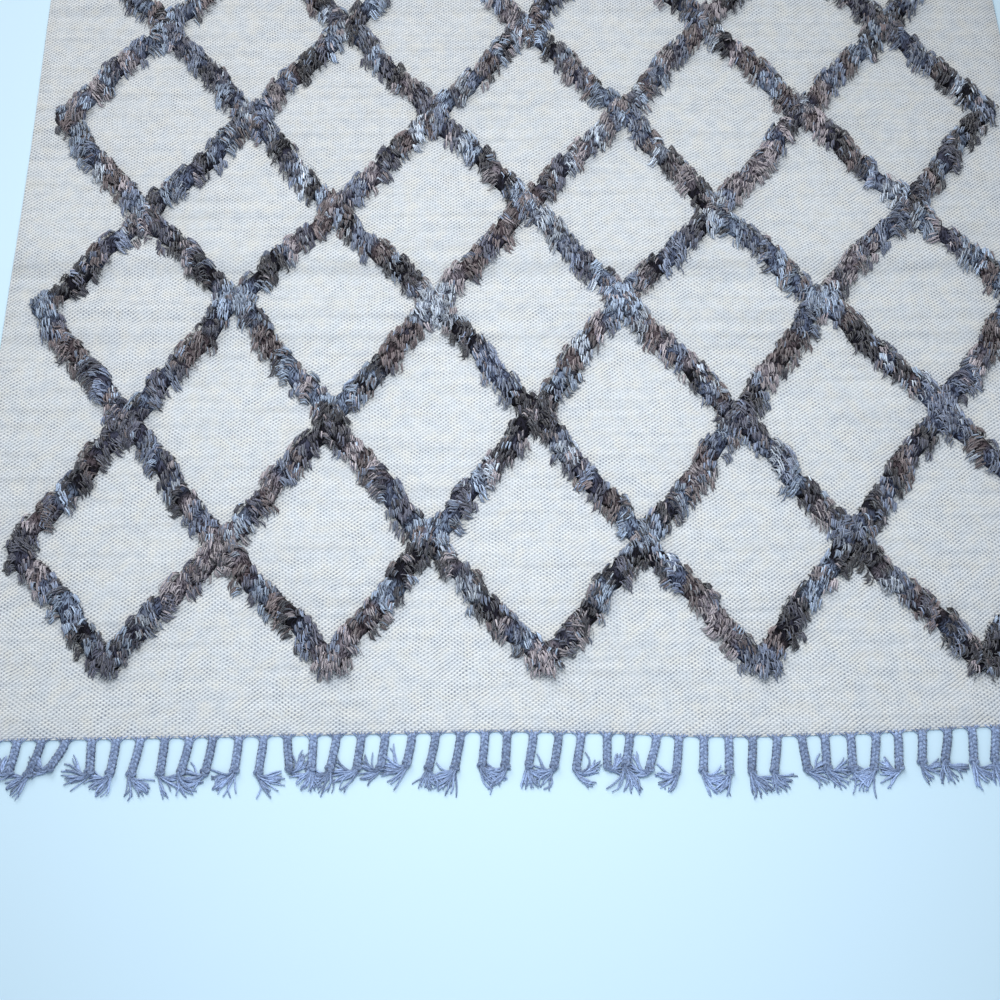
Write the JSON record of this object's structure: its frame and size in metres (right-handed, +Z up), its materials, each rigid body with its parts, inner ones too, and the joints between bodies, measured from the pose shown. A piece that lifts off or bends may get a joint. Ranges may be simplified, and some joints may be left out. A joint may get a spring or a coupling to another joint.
{
  "type": "kilim rug with a raised pile lattice",
  "caption": "Flat-woven wool rug with a lattice of diamonds in raised shaggy pile, and a plaited, knotted and tasselled fringe at each end.",
  "frame": {"origin": "middle of the rug's underside, on the floor", "axes": "+X across the rug, +Y along it towards the far fringe, +Z up out of the pile"},
  "size_m": [1.6048, 2.482, 0.0253],
  "materials": {
    "ground_wool": "undyed off-white wool weft over blue-grey warps, matt, with a small brick-like weave",
    "pile_wool": "shaggy knotted wool locks in charcoal, slate, silver and taupe, soft sheen",
    "warp_yarn": "twisted blue-grey warp yarn, plaited and knotted, matt"
  },
  "bodies": {
    "root": {"rug_cloth": "ground_wool", "fringe_near": "warp_yarn", "fringe_far": "warp_yarn"}
  },
  "joints": []
}
